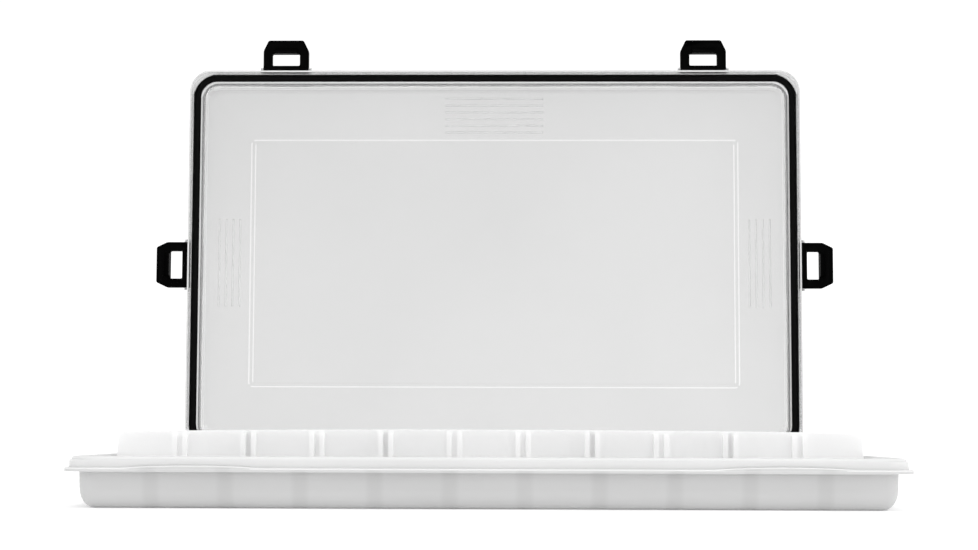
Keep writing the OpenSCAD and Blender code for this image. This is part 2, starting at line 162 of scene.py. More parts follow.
def finish_piece(piece):
    """Merges doubles, points the faces outwards and leaves edit mode."""
    bpy.ops.mesh.select_all(action="SELECT")
    bpy.ops.mesh.remove_doubles(threshold=MERGE * MM)
    bpy.ops.mesh.select_all(action="SELECT")
    bpy.ops.mesh.normals_make_consistent(inside=False)
    bpy.ops.object.mode_set(mode="OBJECT")
    return piece


def shape_mesh():
    shape = bmesh.from_edit_mesh(bpy.context.object.data)
    shape.verts.ensure_lookup_table()
    shape.verts.index_update()
    return shape


def pick(kind, wanted):
    """Selects the faces, edges or vertices for which wanted is true, and nothing else."""
    bpy.ops.mesh.select_mode(type=kind)
    bpy.ops.mesh.select_all(action="DESELECT")
    shape = shape_mesh()
    for part in {"FACE": shape.faces, "EDGE": shape.edges, "VERT": shape.verts}[kind]:
        if wanted(part):
            part.select_set(True)
    shape.select_flush_mode()
    bmesh.update_edit_mesh(bpy.context.object.data)


def middle(part):
    """Middle of a face or an edge in millimetres."""
    points = [v.co for v in part.verts]
    return sum(points, Vector()) / len(points) / MM


def lay_loop(half_x, half_y, corner, height):
    """Adds a rounded rectangular loop of edges at a height, and returns its vertices' numbers."""
    spot = (0, 0, height * MM)
    bpy.ops.mesh.select_all(action="DESELECT")
    before = len(shape_mesh().verts)
    bpy.ops.mesh.primitive_plane_add(size=2 * MM, location=spot)
    bpy.ops.transform.resize(value=(half_x, half_y, 1), center_override=spot)
    bpy.ops.mesh.bevel(offset=corner * MM, segments=CORNER_STEPS, affect="VERTICES",
                       clamp_overlap=False)
    bpy.ops.mesh.delete(type="ONLY_FACE")
    return range(before, len(shape_mesh().verts))


def in_loop(edge, loop):
    return edge.verts[0].index in loop and edge.verts[1].index in loop


def cap_loop(loop):
    pick("EDGE", lambda e: in_loop(e, loop))
    bpy.ops.mesh.edge_face_add()


def join_loops(loops, ring=False):
    """Bridges each loop to the next one. A ring joins the last to the first, and others are capped."""
    pairs = list(zip(loops, loops[1:]))
    if ring:
        pairs.append((loops[-1], loops[0]))
    for first, second in pairs:
        pick("EDGE", lambda e: in_loop(e, first) or in_loop(e, second))
        bpy.ops.mesh.bridge_edge_loops()
    if not ring:
        cap_loop(loops[0])
        cap_loop(loops[-1])


def draw_shell(loops, ring=False):
    """Lays the loops and joins them. Level neighbours are set a hair apart, or the bridge twists."""
    laid, last = [], None
    for half_x, half_y, corner, height in loops:
        if last is not None and abs(height - last) < HAIR / 2:
            height = last + HAIR
        laid.append(lay_loop(half_x, half_y, corner, height))
        last = height
    join_loops(laid, ring)


def at_inset(inset, height, centre=LIP_CORNER):
    """A loop that lies an inset inside the lip's outline, its corners about the given centre."""
    return (LIP_X - inset, LIP_Y - inset, max(centre - inset, LEAST_CORNER), height)


def block(low, high):
    """Adds a box between two corners to the mesh being edited, selected."""
    low, high = Vector(low), Vector(high)
    spot = tuple((low + high) / 2 * MM)
    bpy.ops.mesh.select_all(action="DESELECT")
    bpy.ops.mesh.primitive_cube_add(size=MM, location=spot)
    bpy.ops.transform.resize(value=tuple(high - low), center_override=spot)


def slice_off(spot, outwards):
    """Cuts the mesh being edited with a plane, takes the outer side away and fills the cut."""
    bpy.ops.mesh.select_all(action="SELECT")
    bpy.ops.mesh.bisect(plane_co=tuple(Vector(spot) * MM), plane_no=tuple(Vector(outwards).normalized()),
                        use_fill=True, clear_outer=True)


def rod(radius, length, spot, axis="X", sides=48):
    """Adds a cylinder along X or Y to the mesh being edited, selected."""
    turn = {"X": (0, math.pi / 2, 0), "Y": (math.pi / 2, 0, 0)}[axis]
    bpy.ops.mesh.select_all(action="DESELECT")
    bpy.ops.mesh.primitive_cylinder_add(vertices=sides, radius=radius * MM, depth=length * MM,
                                        location=tuple(Vector(spot) * MM), rotation=turn)


def copy_piece(piece, name, matrix):
    """Copies a finished piece, with its own mesh, to another place."""
    deselect_all()
    twin = piece.copy()
    twin.data = piece.data.copy()
    twin.name = twin.data.name = name
    bpy.context.collection.objects.link(twin)
    place_piece(twin, matrix)
    return twin


def place_piece(piece, matrix):
    """Moves a piece and applies the move, so that its place is in its mesh."""
    deselect_all()
    bpy.context.view_layer.objects.active = piece
    piece.select_set(True)
    piece.matrix_world = matrix
    bpy.ops.object.transform_apply(location=True, rotation=True, scale=True)


def moved(x, y, z):
    return Matrix.Translation(Vector((x, y, z)) * MM)


def turned(degrees, axis="Z"):
    return Matrix.Rotation(math.radians(degrees), 4, axis)


def join_pieces(pieces, name):
    """Joins loose pieces into one object."""
    deselect_all()
    for piece in pieces:
        piece.select_set(True)
    bpy.context.view_layer.objects.active = pieces[0]
    bpy.ops.object.join()
    pieces[0].name = pieces[0].data.name = name
    return pieces[0]


def combine(piece, others, how):
    """Unites a piece with other pieces or cuts it with them, and uses them up."""
    tools = join_pieces(others, "tools") if len(others) > 1 else others[0]
    deselect_all()
    bpy.context.view_layer.objects.active = piece
    piece.select_set(True)
    step = piece.modifiers.new("combine", "BOOLEAN")
    step.operation = how
    step.solver = "EXACT"
    step.object = tools
    bpy.ops.object.modifier_apply(modifier=step.name)
    bpy.data.objects.remove(tools, do_unlink=True)


def block_piece(name, low, high):
    """A plain block as a piece of its own."""
    piece = start_piece(name)
    block(low, high)
    return finish_piece(piece)


def bore_through(piece, radius, length, y, z, sides):
    """Cuts a round hole along X, centred on X = 0, through a piece."""
    bore = start_piece("bore")
    rod(radius, length, (0, y, z), "X", sides)
    combine(piece, [finish_piece(bore)], "DIFFERENCE")


def round_off(piece, width, steps=2):
    """Rounds a solid's sharp edges, none for a width of 0, and shades all but its flats smooth."""
    deselect_all()
    bpy.context.view_layer.objects.active = piece
    piece.select_set(True)
    if width:
        step = piece.modifiers.new("round", "BEVEL")
        step.width = width * MM
        step.segments = steps
        step.limit_method = "ANGLE"
        step.angle_limit = math.radians(SHARP_ANGLE)
        step.harden_normals = False
        bpy.ops.object.modifier_apply(modifier=step.name)
    bpy.ops.object.shade_smooth_by_angle(angle=math.radians(SMOOTH_ANGLE))
    step = piece.modifiers.new("flats", "WEIGHTED_NORMAL")
    step.keep_sharp = True
    bpy.ops.object.modifier_apply(modifier=step.name)


# ---------------------------------------------------------------- the camera and the studio

def set_up_camera():
    """The photograph's low view: level with the partitions' top, looking slightly up."""
    yaw, pitch, roll = (math.radians(turn) for turn in CAMERA_TURN)
    ahead = Vector((-math.sin(yaw) * math.cos(pitch), math.cos(yaw) * math.cos(pitch), math.sin(pitch)))
    right = Vector((math.cos(yaw), math.sin(yaw), 0))
    up = right.cross(ahead)
    x_axis = math.cos(roll) * right + math.sin(roll) * up
    y_axis = -math.sin(roll) * right + math.cos(roll) * up
    camera = bpy.data.objects.new("camera", bpy.data.cameras.new("camera"))
    bpy.context.collection.objects.link(camera)
    spot = Vector(CAMERA_SPOT) * MM
    camera.matrix_world = Matrix((
        (x_axis.x, y_axis.x, -ahead.x, spot.x), (x_axis.y, y_axis.y, -ahead.y, spot.y),
        (x_axis.z, y_axis.z, -ahead.z, spot.z), (0, 0, 0, 1)))
    camera.data.sensor_width = SENSOR_WIDE
    camera.data.lens = FOCAL * SENSOR_WIDE / PICTURE_WIDE
    camera.data.shift_y = RAISED / PICTURE_WIDE
    camera.data.clip_start, camera.data.clip_end = 0.02, 60
    bpy.context.scene.camera = camera


def soft_box(name, spot, aim, width, height, power):
    """A rectangular lamp at a spot that shines towards its aim, in metres and watts."""
    light = bpy.data.lights.new(name, "AREA")
    light.shape = "RECTANGLE"
    light.size, light.size_y = width, height
    light.energy = power
    lamp = bpy.data.objects.new(name, light)
    bpy.context.collection.objects.link(lamp)
    lamp.location = spot
    lamp.rotation_mode = "QUATERNION"
    lamp.rotation_quaternion = (Vector(aim) - Vector(spot)).to_track_quat("-Z", "Y")


def set_up_studio():
    """White surroundings, brighter in front of the tray, to its right and low down, and a soft box."""
    scene = bpy.context.scene
    scene.view_settings.view_transform = "Standard"
    scene.view_settings.look = "None"
    world = bpy.data.worlds.new("studio")
    scene.world = world
    world.use_nodes = True
    nodes, links = world.node_tree.nodes, world.node_tree.links
    nodes.clear()
    out = nodes.new("ShaderNodeOutputWorld")
    glow = nodes.new("ShaderNodeBackground")
    place = nodes.new("ShaderNodeTexCoord")
    parts = nodes.new("ShaderNodeSeparateXYZ")
    ramp = nodes.new("ShaderNodeMapRange")
    ramp.inputs["From Min"].default_value = -0.75
    ramp.inputs["From Max"].default_value = 0.35
    ramp.inputs["To Min"].default_value = 1.46
    ramp.inputs["To Max"].default_value = 1.25
    ramp.interpolation_type = "SMOOTHSTEP"
    links.new(place.outputs["Generated"], parts.inputs["Vector"])
    links.new(parts.outputs["Y"], ramp.inputs["Value"])
    lean = nodes.new("ShaderNodeVectorMath")
    lean.operation = "DOT_PRODUCT"
    lean.inputs[1].default_value = (0.12, 0.0, -0.45)
    links.new(place.outputs["Generated"], lean.inputs[0])
    lift = nodes.new("ShaderNodeMath")
    lift.operation = "MULTIPLY_ADD"
    links.new(lean.outputs["Value"], lift.inputs[0])
    links.new(ramp.outputs["Result"], lift.inputs[1])
    links.new(ramp.outputs["Result"], lift.inputs[2])
    links.new(lift.outputs["Value"], glow.inputs["Strength"])
    glow.inputs["Color"].default_value = (1, 1, 1, 1)
    links.new(glow.outputs["Background"], out.inputs["Surface"])
    soft_box("top_box", spot=(0, -0.5, 1.5), aim=(0, 0, 0), width=1.8, height=1.4, power=9.5)

    deselect_all()
    bpy.ops.mesh.primitive_plane_add(size=14, location=(0, 0, 0))
    floor = bpy.context.object
    floor.name = floor.data.name = "floor"
    floor.data.materials.append(pale_floor())


# ---------------------------------------------------------------- materials

def new_material(name):
    material = bpy.data.materials.new(name)
    material.use_nodes = True
    nodes = material.node_tree.nodes
    return material, nodes, material.node_tree.links, nodes["Principled BSDF"]


def noise(nodes, links, scale, detail, stretch=(1, 1, 1)):
    """Noise on the object's own coordinates, its scale in features a metre."""
    place = nodes.new("ShaderNodeTexCoord")
    mapping = nodes.new("ShaderNodeMapping")
    mapping.inputs["Scale"].default_value = stretch
    pattern = nodes.new("ShaderNodeTexNoise")
    pattern.inputs["Scale"].default_value = scale
    pattern.inputs["Detail"].default_value = detail
    links.new(place.outputs["Object"], mapping.inputs["Vector"])
    links.new(mapping.outputs["Vector"], pattern.inputs["Vector"])
    return pattern.outputs["Fac"]


def spread(nodes, links, value, low, high):
    """Maps a pattern's 0 to 1 onto a range."""
    reach = nodes.new("ShaderNodeMapRange")
    reach.inputs["To Min"].default_value = low
    reach.inputs["To Max"].default_value = high
    links.new(value, reach.inputs["Value"])
    return reach.outputs["Result"]


def two_tones(nodes, links, value, first, second):
    """Colours a pattern from one tone to another over its middle third."""
    ramp = nodes.new("ShaderNodeValToRGB")
    ramp.color_ramp.elements[0].position = 0.35
    ramp.color_ramp.elements[0].color = (*first, 1)
    ramp.color_ramp.elements[1].position = 0.65
    ramp.color_ramp.elements[1].color = (*second, 1)
    links.new(value, ramp.inputs["Fac"])
    return ramp.outputs["Color"]


def relief(nodes, links, shader, value, height, strength):
    """Turns a pattern into a bump of a height in millimetres."""
    bump = nodes.new("ShaderNodeBump")
    bump.inputs["Distance"].default_value = height * MM
    bump.inputs["Strength"].default_value = strength
    links.new(value, bump.inputs["Height"])
    links.new(bump.outputs["Normal"], shader.inputs["Normal"])


def pale_floor():
    """The studio's floor, which glows more with the distance from the tray, so that it stays white."""
    material, nodes, links, shader = new_material("pale_floor")
    tone = two_tones(nodes, links, noise(nodes, links, 3, 3), (0.93, 0.93, 0.93), (0.95, 0.95, 0.95))
    links.new(tone, shader.inputs["Base Color"])
    shader.inputs["Roughness"].default_value = 0.9
    shader.inputs["Specular IOR Level"].default_value = 0.0
    shader.inputs["Emission Color"].default_value = (1, 1, 1, 1)
    place = nodes.new("ShaderNodeTexCoord")
    away = nodes.new("ShaderNodeVectorMath")
    away.operation = "LENGTH"
    links.new(place.outputs["Object"], away.inputs[0])
    sweep = nodes.new("ShaderNodeMapRange")
    sweep.inputs["From Min"].default_value = 0.3
    sweep.inputs["From Max"].default_value = 1.5
    sweep.inputs["To Min"].default_value = 0.17
    sweep.inputs["To Max"].default_value = 0.35
    links.new(away.outputs["Value"], sweep.inputs["Value"])
    links.new(sweep.outputs["Result"], shader.inputs["Emission Strength"])
    return material


def white_moulding(name, tone, glow, depth):
    """Satin white plastic, slightly cloudy and translucent, with a fine moulded skin."""
    material, nodes, links, shader = new_material(name)
    cloud = noise(nodes, links, 14, 2)
    links.new(two_tones(nodes, links, cloud, (tone - 0.01,) * 3, (tone + 0.01,) * 3),
              shader.inputs["Base Color"])
    shader.inputs["Subsurface Weight"].default_value = glow
    shader.inputs["Subsurface Radius"].default_value = (1, 1, 1)
    shader.inputs["Subsurface Scale"].default_value = depth * MM
    grain = noise(nodes, links, 2600, 2)
    links.new(spread(nodes, links, grain, 0.34, 0.46), shader.inputs["Roughness"])
    relief(nodes, links, shader, grain, 0.012, 0.5)
    shader.inputs["Specular IOR Level"].default_value = 0.4
    return material


def paint_rib_shade(material):
    """Paints the slot ribs' shadow on the wall's outside: a little darker where the ribs back it, along
    the front and the rear.
    """
    nodes, links = material.node_tree.nodes, material.node_tree.links
    shader = nodes["Principled BSDF"]
    tone = shader.inputs["Base Color"].links[0].from_socket
    place = nodes.new("ShaderNodeTexCoord")
    parts = nodes.new("ShaderNodeSeparateXYZ")
    links.new(place.outputs["Object"], parts.inputs["Vector"])

    def math_step(how, first, second=None, third=None):
        """One step of arithmetic on numbers or on other nodes' values."""
        step = nodes.new("ShaderNodeMath")
        step.operation = how
        for socket, value in zip(step.inputs, (first, second, third)):
            if isinstance(value, float):
                socket.default_value = value
            elif value is not None:
                links.new(value, socket)
        return step.outputs["Value"]

    angle = math_step("MULTIPLY_ADD", parts.outputs["X"], 2 * math.pi / (SLOT_PITCH * MM), math.pi)
    band = nodes.new("ShaderNodeMapRange")
    band.interpolation_type = "SMOOTHSTEP"
    band.inputs["From Min"].default_value = 0.6
    links.new(math_step("COSINE", angle), band.inputs["Value"])
    along = math_step("LESS_THAN", math_step("ABSOLUTE", parts.outputs["X"]), RIB_SHADE_X * MM)
    across = math_step("GREATER_THAN", math_step("ABSOLUTE", parts.outputs["Y"]), RIB_SHADE_Y * MM)
    rib_shade_mask = math_step("MULTIPLY", math_step("MULTIPLY", along, across), band.outputs["Result"])
    # Painted shade: the wall's tone is multiplied by 0.93 in the bands behind the ribs.
    rib_shade = nodes.new("ShaderNodeMix")
    rib_shade.data_type = "RGBA"
    rib_shade.blend_type = "MULTIPLY"
    rib_shade.inputs["B"].default_value = (0.93, 0.93, 0.93, 1)
    links.new(rib_shade_mask, rib_shade.inputs["Factor"])
    links.new(tone, rib_shade.inputs["A"])
    links.new(rib_shade.outputs["Result"], shader.inputs["Base Color"])


def clear_moulding(name, tone):
    """Clear plastic of the lid with a trace of milkiness and faint flow marks."""
    material, nodes, links, shader = new_material(name)
    cloud = noise(nodes, links, 9, 2)
    links.new(two_tones(nodes, links, cloud, (tone - 0.012,) * 3, (tone + 0.012,) * 3),
              shader.inputs["Base Color"])
    shader.inputs["Transmission Weight"].default_value = 0.9
    shader.inputs["IOR"].default_value = 1.49
    links.new(spread(nodes, links, cloud, 0.025, 0.045), shader.inputs["Roughness"])
    flow = noise(nodes, links, 30, 2, stretch=(0.4, 1, 1))
    relief(nodes, links, shader, flow, 0.02, 0.03)
    return material


def seal_rubber():
    """Smooth black rubber of the ring seal."""
    material, nodes, links, shader = new_material("seal_rubber")
    fleck = noise(nodes, links, 900, 3)
    links.new(two_tones(nodes, links, fleck, (0.0006, 0.0006, 0.0006), (0.0012, 0.0012, 0.0012)),
              shader.inputs["Base Color"])
    links.new(spread(nodes, links, fleck, 0.28, 0.4), shader.inputs["Roughness"])
    shader.inputs["Specular IOR Level"].default_value = 0.05
    relief(nodes, links, shader, fleck, 0.01, 0.4)
    return material


def black_moulding():
    """Satin black plastic of the latches, with a fine spark-eroded grain."""
    material, nodes, links, shader = new_material("black_moulding")
    grain = noise(nodes, links, 3200, 2)
    links.new(two_tones(nodes, links, grain, (0.0006, 0.0006, 0.0006), (0.0014, 0.0014, 0.0014)),
              shader.inputs["Base Color"])
    links.new(spread(nodes, links, grain, 0.38, 0.52), shader.inputs["Roughness"])
    shader.inputs["Specular IOR Level"].default_value = 0.012
    relief(nodes, links, shader, grain, 0.015, 0.6)
    return material


def drawn_wire():
    """Bright drawn steel of the pins, with fine lines along the wire."""
    material, nodes, links, shader = new_material("drawn_wire")
    lines = noise(nodes, links, 3000, 2, stretch=(0.02, 1, 1))
    links.new(two_tones(nodes, links, lines, (0.52, 0.52, 0.53), (0.66, 0.66, 0.67)),
              shader.inputs["Base Color"])
    links.new(spread(nodes, links, lines, 0.22, 0.38), shader.inputs["Roughness"])
    shader.inputs["Metallic"].default_value = 1.0
    relief(nodes, links, shader, lines, 0.01, 0.5)
    return material


def milky_moulding():
    """Translucent milky plastic of the dividers."""
    material, nodes, links, shader = new_material("milky_moulding")
    cloud = noise(nodes, links, 60, 2)
    links.new(two_tones(nodes, links, cloud, (0.91, 0.914, 0.918), (0.94, 0.942, 0.944)),
              shader.inputs["Base Color"])
    shader.inputs["Transmission Weight"].default_value = 0.7
    shader.inputs["IOR"].default_value = 1.49
    links.new(spread(nodes, links, cloud, 0.3, 0.42), shader.inputs["Roughness"])
    return material


# ---------------------------------------------------------------- the tray

def wall_inset(height):
    """Inset of the wall's outside at a height."""
    return LIP_WIDE + SET_IN + (LIP_LOW - height) * math.tan(DRAFT)


def quarter(steps, last=90.0):
    """Even steps of angle from nothing to the last, in radians."""
    return [math.radians(last * i / steps) for i in range(steps + 1)]


def make_tray_shell():
    """The floor, walls, lip and sealing ridge as one moulding, drawn loop by loop."""
    shell = start_piece("tray_shell")
    foot_in = wall_inset(FOOT_UP) + FOOT_OUT
    loops = []
    for a in reversed(quarter(6)):
        loops.append(at_inset(foot_in - FOOT_OUT * math.cos(a), FOOT_UP * (1 - math.sin(a))))
    loops.append(at_inset(wall_inset(LIP_LOW), LIP_LOW))
    loops.append(at_inset(0.0, LIP_LOW))
    for a in quarter(4):
        loops.append(at_inset(BEAD_ROUND * (1 - math.cos(a)), BEAD_TOP - BEAD_ROUND * (1 - math.sin(a))))
    loops.append(at_inset(RIDGE_OUT, LIP_TOP))
    loops.append(at_inset(RIDGE_OUT, STEP_TOP))
    tongue = TONGUE_TOP - STEP_TOP
    for a in quarter(4):
        loops.append(at_inset(RIDGE_OUT + TONGUE_IN + tongue * (1 - math.cos(a)),
                              STEP_TOP + tongue * math.sin(a), SEAL_CORNER))
    for a in reversed(quarter(4)):
        loops.append(at_inset(RIDGE_IN - tongue * (1 - math.cos(a)),
                              STEP_TOP + tongue * math.sin(a), SEAL_CORNER))
    loops.append(at_inset(RIDGE_IN, LIP_TOP, SEAL_CORNER))
    loops.append(at_inset(LIP_WIDE + WALL, LIP_TOP))
    loops.append(at_inset(LIP_WIDE + WALL, LIP_LOW))
    for a in quarter(6):
        loops.append(at_inset(foot_in - SET_IN - (FOOT_OUT - WALL) * math.cos(a),
                              FOOT_UP - (FOOT_UP - WALL) * math.sin(a)))
    draw_shell(loops)
    finish_piece(shell)
    # Painted shade: the rim and the outside take darker copies of the tray's white than the inside.
    for face in shell.data.polygons:
        spot, out = face.center / MM, face.normal
        outside = out.z < -0.3 or out.x * spot.x + out.y * spot.y > 0
        if spot.z > BEAD_TOP - BEAD_ROUND + NEAR / 2:
            face.material_index = RIM_SHADE
        else:
            face.material_index = OUTER_SHADE if outside else INNER_FINISH
    return shell


def slot_x(index):
    """Middle of a slot along X, the slots counted from the left from 0."""
    return (index - (SLOT_COUNT - 1) / 2) * SLOT_PITCH


def rib_edges():
    """Both edges of every rib beside the slots, along X."""
    edges = []
    for i in range(SLOT_COUNT):
        for side in (-1, 1):
            near, far = SLOT_WIDE / 2, SLOT_WIDE / 2 + RIB_WIDE
            edges.append(tuple(sorted((slot_x(i) + side * near, slot_x(i) + side * far))))
    return edges


def make_partition():
    """A slotted partition on Y = 0, bowed along its top, with ribs on both faces."""
    part = start_piece("partition")
    block((-PART_HALF, -PART_THICK / 2, PART_LOW), (PART_HALF, PART_THICK / 2, PART_TOP))
    rib_top = PART_TOP - RIB_DROP
    for height in (PART_STEP, rib_top):
        bpy.ops.mesh.select_all(action="SELECT")
        bpy.ops.mesh.bisect(plane_co=(0, 0, height * MM), plane_no=(0, 0, 1))
    pick("FACE", lambda f: abs(f.normal.x) > 0.9 and middle(f).z < PART_STEP)
    bpy.ops.mesh.extrude_region_shrink_fatten(TRANSFORM_OT_shrink_fatten={"value": END_FOOT * MM})
    pick("EDGE", lambda e: abs(middle(e).x) > PART_HALF + END_FOOT - NEAR
         and abs(middle(e).y) < NEAR and middle(e).z < PART_LOW + NEAR)
    bpy.ops.mesh.bevel(offset=END_FOOT_ROUND * MM, segments=5, affect="EDGES")
    for side in (-1, 1):
        pick("VERT", lambda v: abs(side * v.co.x / MM - PART_HALF) < NEAR / 2
             and abs(v.co.z / MM - PART_STEP) < NEAR / 2)
        bpy.ops.transform.translate(value=(side * END_DRAFT * MM, 0, 0))
    for pair in rib_edges():
        for x in pair:
            bpy.ops.mesh.select_all(action="SELECT")
            bpy.ops.mesh.bisect(plane_co=(x * MM, 0, 0), plane_no=(1, 0, 0))
    spans = rib_edges()
    pick("FACE", lambda f: abs(f.normal.y) > 0.9 and middle(f).z < rib_top
         and any(a < middle(f).x < b for a, b in spans))
    bpy.ops.mesh.extrude_region_shrink_fatten(TRANSFORM_OT_shrink_fatten={"value": RIB_DEEP * MM})
    pick("EDGE", lambda e: abs(middle(e).x) > PART_HALF - NEAR and abs(middle(e).y) < NEAR
         and middle(e).z > PART_TOP - NEAR)
    bpy.ops.mesh.bevel(offset=END_ROUND * MM, segments=4, affect="EDGES")
    above = (PART_STEP + NEAR / 2) * MM
    columns = sorted({round(v.co.x / MM, 2) for v in shape_mesh().verts if v.co.z > above})
    for x in columns:
        drop = PART_CROWN * (x / PART_HALF) ** 2
        pick("VERT", lambda v: abs(v.co.x / MM - x) < HAIR / 2 and v.co.z > above)
        bpy.ops.transform.translate(value=(0, 0, -drop * MM))
    return finish_piece(part)


def make_wall_rib():
    """A slot rib at the inside of the front wall, at X = 0."""
    rib = start_piece("wall_rib")
    rear, front = -INNER_Y + RIB_DEEP, -INNER_Y - WALL_RIB_SUNK
    block((-RIB_WIDE / 2, front, WALL_RIB_LOW), (RIB_WIDE / 2, rear, LIP_LOW - WALL_RIB_DROP))
    slice_off((0, front, WALL_RIB_CUT), (0, WALL_RIB_LOW - WALL_RIB_CUT, front - rear))
    return finish_piece(rib)


def make_catch():
    """The long low swelling of the lip under a latch, at the rear edge's middle."""
    catch = start_piece("catch")
    rod(1, CATCH_DEEP, (0, LIP_Y - CATCH_DEEP / 2 - CATCH_BACK, LIP_TOP - CATCH_CENTRE), "Y", 96)
    bpy.ops.transform.resize(value=(CATCH_HALF, 1, CATCH_RISE),
                             center_override=(0, 0, (LIP_TOP - CATCH_CENTRE) * MM))
    bpy.ops.mesh.select_all(action="SELECT")
    bpy.ops.mesh.bisect(plane_co=(0, 0, (LIP_TOP - CATCH_CUT) * MM), plane_no=(0, 0, 1),
                        use_fill=True, clear_inner=True)
    pick("EDGE", lambda e: middle(e).y > LIP_Y - NEAR and middle(e).z > LIP_TOP - CATCH_CUT + NEAR)
    bpy.ops.mesh.bevel(offset=CATCH_ROUND * MM, segments=3, affect="EDGES")
    return finish_piece(catch)


def make_tray_knuckle():
    """One outer hinge knuckle of the tray with the web that joins it to the lip, at X = 0."""
    knuckle = start_piece("tray_knuckle")
    rod(KNUCKLE, TRAY_KNUCKLE_WIDE, (0, HINGE_Y, HINGE_Z))
    finish_piece(knuckle)
    half = TRAY_KNUCKLE_WIDE / 2 - WEB_IN
    web = block_piece("web", (-half, LIP_Y - TRAY_WEB_SUNK, LIP_LOW + WEB_OFF),
                      (half, HINGE_Y, LIP_TOP - WEB_OFF))
    combine(knuckle, [web], "UNION")
    bore_through(knuckle, HINGE_BORE, TRAY_KNUCKLE_WIDE + 2 * PAST, HINGE_Y, HINGE_Z, 32)
    return knuckle


# From the rear edge's frame, where a latch is modelled, to each latch of the closed lid
LATCH_PLACES = {
    "front_left": moved(-LATCH_X, 0, 0) @ turned(180) @ moved(0, LIP_Y, 0),
    "front_right": moved(LATCH_X, 0, 0) @ turned(180) @ moved(0, LIP_Y, 0),
    "side_left": moved(0, LATCH_BACK, 0) @ turned(90) @ moved(0, LIP_X, 0),
    "side_right": moved(0, LATCH_BACK, 0) @ turned(-90) @ moved(0, LIP_X, 0),
}
OPENED = moved(0, HINGE_Y, HINGE_Z) @ turned(-90, "X") @ moved(0, -HINGE_Y, -HINGE_Z)


def tone_faces(piece, white_and_shaded_copies, finish=INNER_FINISH):
    """Gives a piece the tray's materials, the white and its darker copies of painted shade, and all its
    faces one of them.
    """
    for material in white_and_shaded_copies:
        piece.data.materials.append(material)
    for face in piece.data.polygons:
        face.material_index = finish


def make_tray(white_and_shaded_copies):
    """The whole white moulding: the shell united with its partitions, ribs, catches and knuckles."""
    tray = make_tray_shell()
    for material in white_and_shaded_copies:
        tray.data.materials.append(material)
    extras = []
    partition = make_partition()
    tone_faces(partition, white_and_shaded_copies)
    for y in PART_YS:
        extras.append(copy_piece(partition, "partition", moved(0, y, 0)))
    bpy.data.objects.remove(partition, do_unlink=True)
    rib = make_wall_rib()
    tone_faces(rib, white_and_shaded_copies)
    for low, high in rib_edges():
        for turn in (0, 180):
            extras.append(copy_piece(rib, "wall_rib", turned(turn) @ moved((low + high) / 2, 0, 0)))
    bpy.data.objects.remove(rib, do_unlink=True)
    catch = make_catch()
    # The catch takes the rim's painted shade on top and the outside's darker painted shade on its face.
    tone_faces(catch, white_and_shaded_copies, RIM_SHADE)
    for face in catch.data.polygons:
        if face.normal.y > 0.95:
            face.material_index = OUTER_SHADE
    for place in LATCH_PLACES.values():
        extras.append(copy_piece(catch, "catch", place @ moved(0, -LIP_Y, 0)))
    bpy.data.objects.remove(catch, do_unlink=True)
    knuckle = make_tray_knuckle()
    # The knuckles take the rim's painted shade.
    tone_faces(knuckle, white_and_shaded_copies, RIM_SHADE)
    for side in (-1, 1):
        for end in (-1, 1):
            x = side * HINGE_X + end * KNUCKLE_APART
            extras.append(copy_piece(knuckle, "knuckle", moved(x, 0, 0)))
    bpy.data.objects.remove(knuckle, do_unlink=True)
    combine(tray, extras, "UNION")
    tray.name = tray.data.name = "tray_moulding"
    round_off(tray, TRAY_EDGE)
    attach(tray, "tray")
    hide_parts("base_tray")


# ---------------------------------------------------------------- the lid

def shoulder_loops(inset, top, radius):
    """Loops of the rounding between the dome's wall and its sloped border, from the wall up."""
    turn = radius * math.tan(math.radians((90 - BORDER_SLOPE) / 2))
    loops = []
    for a in quarter(6, 90 - BORDER_SLOPE):
        loops.append(at_inset(inset + radius * (1 - math.cos(a)), top - turn + radius * math.sin(a),
                              SEAL_CORNER))
    return loops


def panel_loops(height):
    """Loops of the narrow raised frame round the flat panel, from the border inwards."""
    wide = FRAME_WIDE + FRAME_SLOPE
    low, (first, second, third, fourth) = height - FRAME_DROP, FRAME_CORNERS
    return [(PANEL_X + FRAME_SLOPE, PANEL_Y + FRAME_SLOPE, first, low),
            (PANEL_X, PANEL_Y, second, height),
            (PANEL_X - FRAME_WIDE, PANEL_Y - FRAME_WIDE, third, height),
            (PANEL_X - wide, PANEL_Y - wide, fourth, low)]


def make_lid_shell():
    """The skirt, seal channel, dome and panel as one moulding, drawn loop by loop."""
    shell = start_piece("lid_shell")
    loops = list(reversed(panel_loops(PANEL + LID_THICK)))
    loops += reversed(shoulder_loops(CHANNEL_IN, SHOULDER + LID_THICK, SHOULDER_ROUND + OUTER_GAIN))
    loops.append(at_inset(CHANNEL_IN, RIM_TOP, SEAL_CORNER))
    loops.append(at_inset(0.0, RIM_TOP))
    loops.append(at_inset(0.0, SKIRT_LOW))
    loops.append(at_inset(SKIRT_THICK, SKIRT_LOW))
    loops.append(at_inset(SKIRT_THICK, SEAL_LOW))
    loops.append(at_inset(CHANNEL_OUT, SEAL_LOW, SEAL_CORNER))
    loops.append(at_inset(CHANNEL_OUT, ROOF, SEAL_CORNER))
    loops.append(at_inset(CHANNEL_IN, ROOF, SEAL_CORNER))
    loops.append(at_inset(CHANNEL_IN, DOME_LOW, SEAL_CORNER))
    loops.append(at_inset(DOME_IN, DOME_LOW, SEAL_CORNER))
    loops += shoulder_loops(DOME_IN, SHOULDER, SHOULDER_ROUND)
    loops += panel_loops(PANEL)
    draw_shell(loops)
    return finish_piece(shell)


def border_height(inset, width):
    """Height of the closed border's outside, which rises to the panel over a width."""
    return SHOULDER + LID_THICK + (inset - CHANNEL_IN) * (PANEL - SHOULDER) / width


